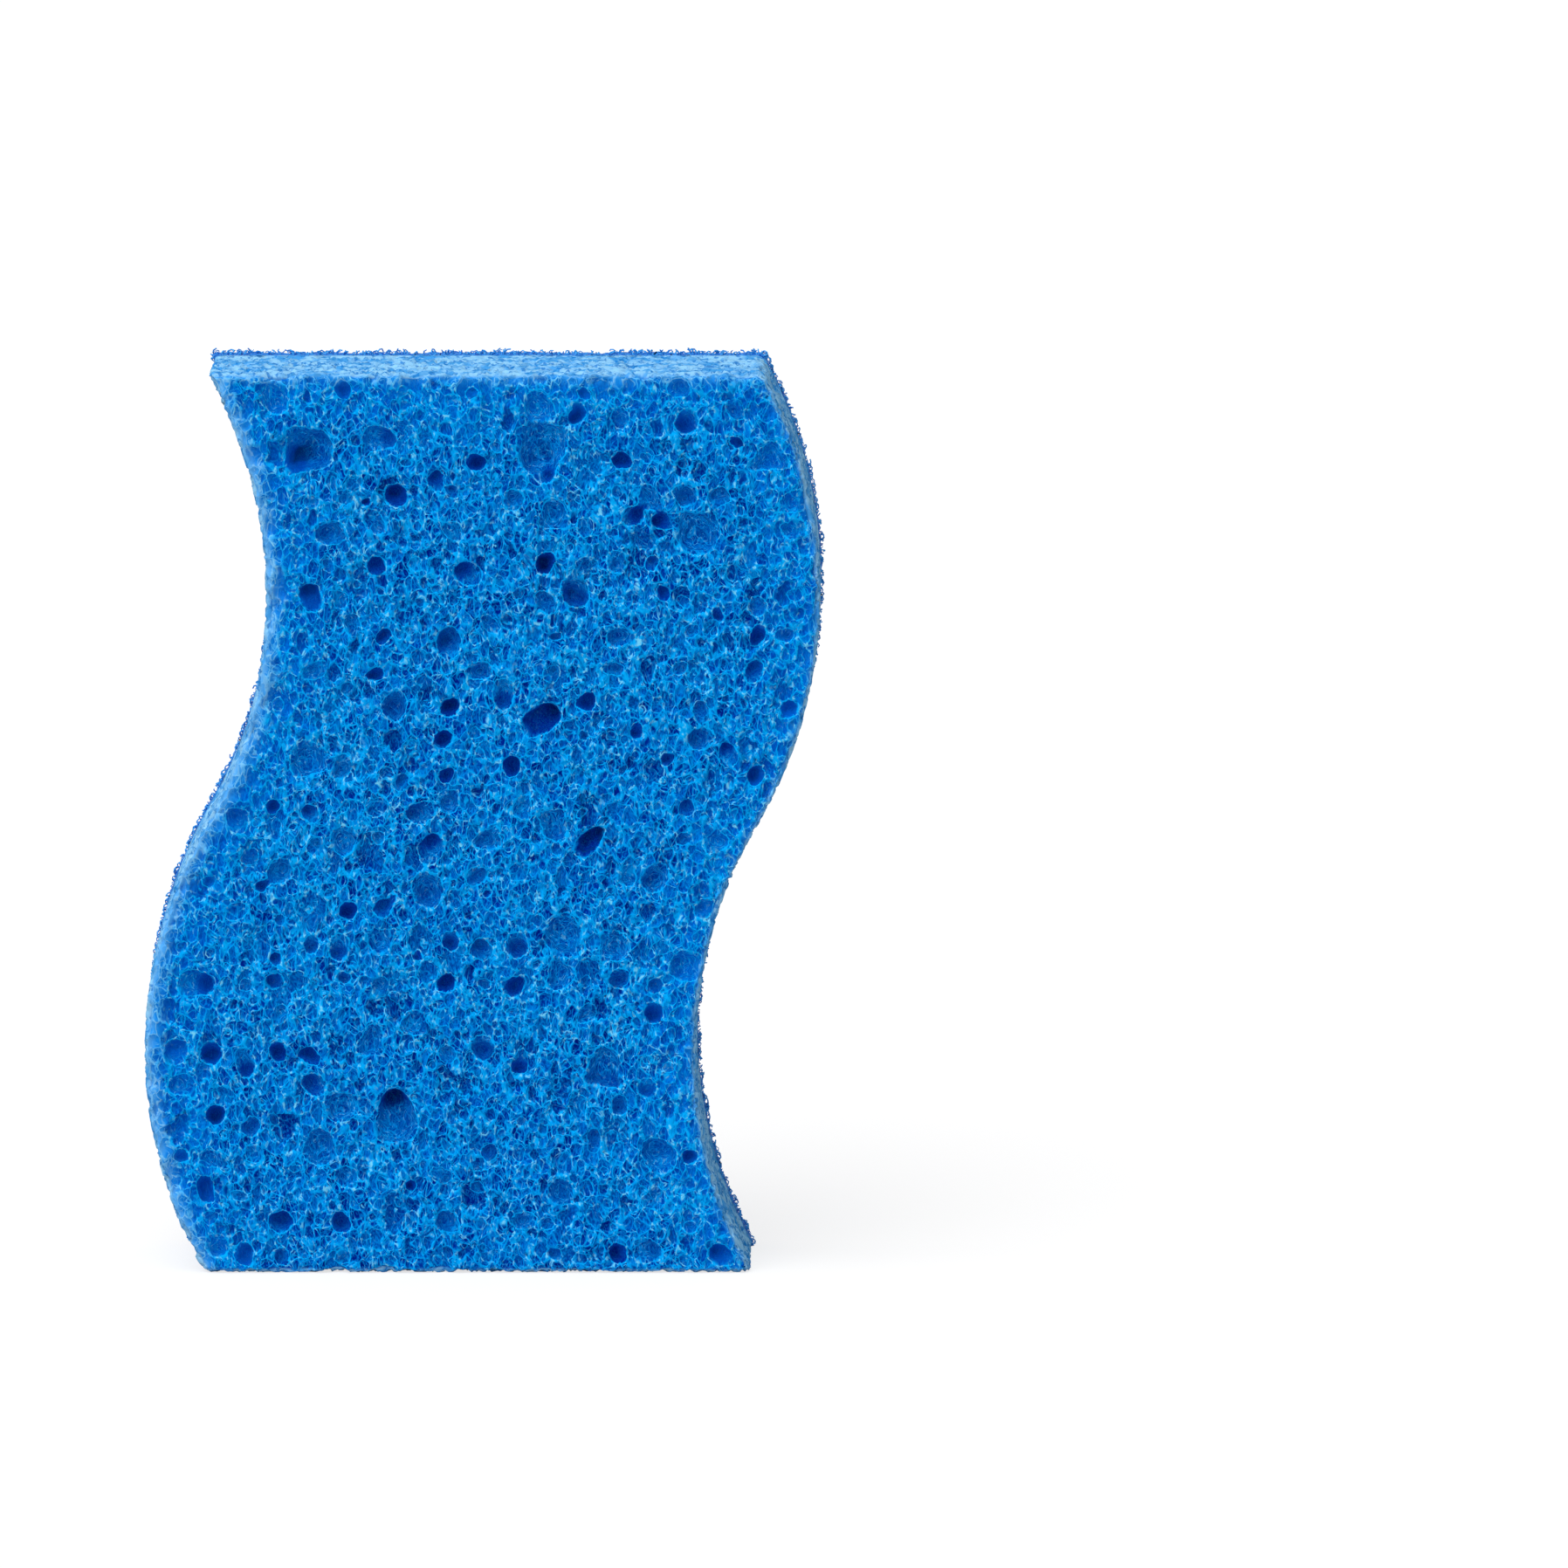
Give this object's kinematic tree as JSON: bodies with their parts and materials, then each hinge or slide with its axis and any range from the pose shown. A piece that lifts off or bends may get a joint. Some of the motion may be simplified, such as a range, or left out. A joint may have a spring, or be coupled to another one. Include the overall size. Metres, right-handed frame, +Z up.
{
  "type": "cleaning sponge",
  "caption": "Waved cleaning sponge of open-celled cellulose foam with a thin, curly-fibred scrubbing layer on its back, standing on one cut end.",
  "frame": {"origin": "middle of the cut end that the sponge stands on", "axes": "+Z up along the sponge's length, +Y from the foam face to the scrub layer, +X to the right when the foam face is looked at"},
  "size_m": [0.0842, 0.02, 0.1125],
  "materials": {
    "cellulose_foam": "dry open-celled cellulose foam, mid blue, matt, with paler cell walls and paler cut edges",
    "scrub_fibre": "curly darker blue non-woven fibre, matt"
  },
  "bodies": {
    "root": {"sponge_body": "cellulose_foam", "scrub_layer": "scrub_fibre"}
  },
  "joints": []
}
